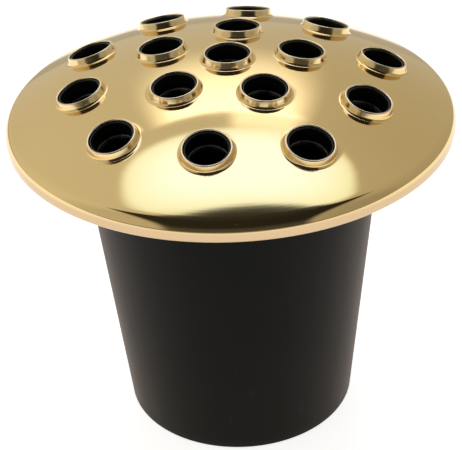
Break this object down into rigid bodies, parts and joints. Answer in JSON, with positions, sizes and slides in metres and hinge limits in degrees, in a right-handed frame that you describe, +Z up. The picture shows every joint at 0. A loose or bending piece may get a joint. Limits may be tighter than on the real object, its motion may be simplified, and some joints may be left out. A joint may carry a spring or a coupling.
{
  "type": "flower frog",
  "caption": "Round tapered liner pot with a removable domed gilt lid pierced by raised, sleeved stem holes for arranging cut flowers.",
  "frame": {"origin": "centre of the pot's underside, on the surface it stands on", "axes": "+Z up along the common axis of pot and lid; +Y through one hole of the inner ring and one of the outer ring, so the pattern is symmetric left to right"},
  "size_m": [0.16, 0.16, 0.1435],
  "materials": {
    "lid_gold": "polished, gold anodised",
    "pot_black": "satin moulded",
    "ring_black": "satin moulded",
    "sleeve_black": "glossy moulded"
  },
  "bodies": {
    "pot": {"liner_pot": "pot_black"},
    "lid": {"lid_cover": "lid_gold", "seat_ring": "ring_black", "stem_sleeve_01": "sleeve_black", "stem_sleeve_02": "sleeve_black", "stem_sleeve_03": "sleeve_black", "stem_sleeve_04": "sleeve_black", "stem_sleeve_05": "sleeve_black", "stem_sleeve_06": "sleeve_black", "stem_sleeve_07": "sleeve_black", "stem_sleeve_08": "sleeve_black", "stem_sleeve_09": "sleeve_black", "stem_sleeve_10": "sleeve_black", "stem_sleeve_11": "sleeve_black", "stem_sleeve_12": "sleeve_black", "stem_sleeve_13": "sleeve_black", "stem_sleeve_14": "sleeve_black", "stem_sleeve_15": "sleeve_black", "stem_sleeve_16": "sleeve_black"}
  },
  "joints": [
    {"name": "lid_lift", "type": "slide", "parent": "pot", "child": "lid", "axis": [0, 0, 1], "range_m": [0, 0.06]}
  ]
}
